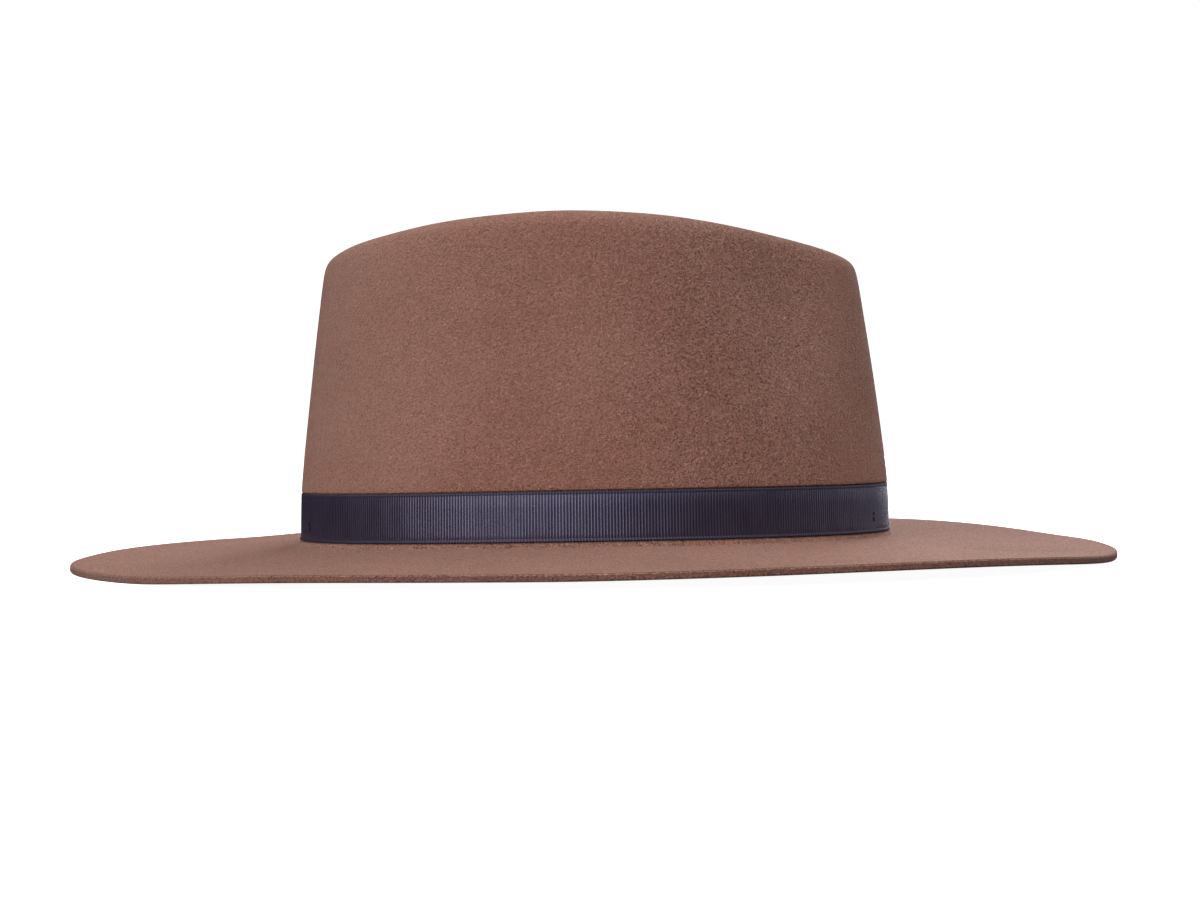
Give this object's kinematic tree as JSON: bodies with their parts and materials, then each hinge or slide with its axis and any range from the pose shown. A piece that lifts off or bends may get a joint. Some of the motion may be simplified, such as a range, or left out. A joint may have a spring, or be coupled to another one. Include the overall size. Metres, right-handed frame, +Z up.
{
  "type": "flat-brim felt hat",
  "caption": "Felt fedora with a wide flat brim, a teardrop crown pinched at the front and a plain grosgrain ribbon.",
  "frame": {"origin": "on the ground under the middle of the brim, the hat standing on its brim", "axes": "+X towards the front of the hat, +Y towards the wearer's left, +Z up"},
  "size_m": [0.3634, 0.329, 0.1192],
  "materials": {
    "felt": "matt dusty rose-brown wool felt with a short nap, the raw cut edge darker",
    "grosgrain": "dark navy grosgrain with fine upright ribs and a soft satin sheen"
  },
  "bodies": {
    "root": {"felt_body": "felt", "ribbon_band": "grosgrain"}
  },
  "joints": []
}
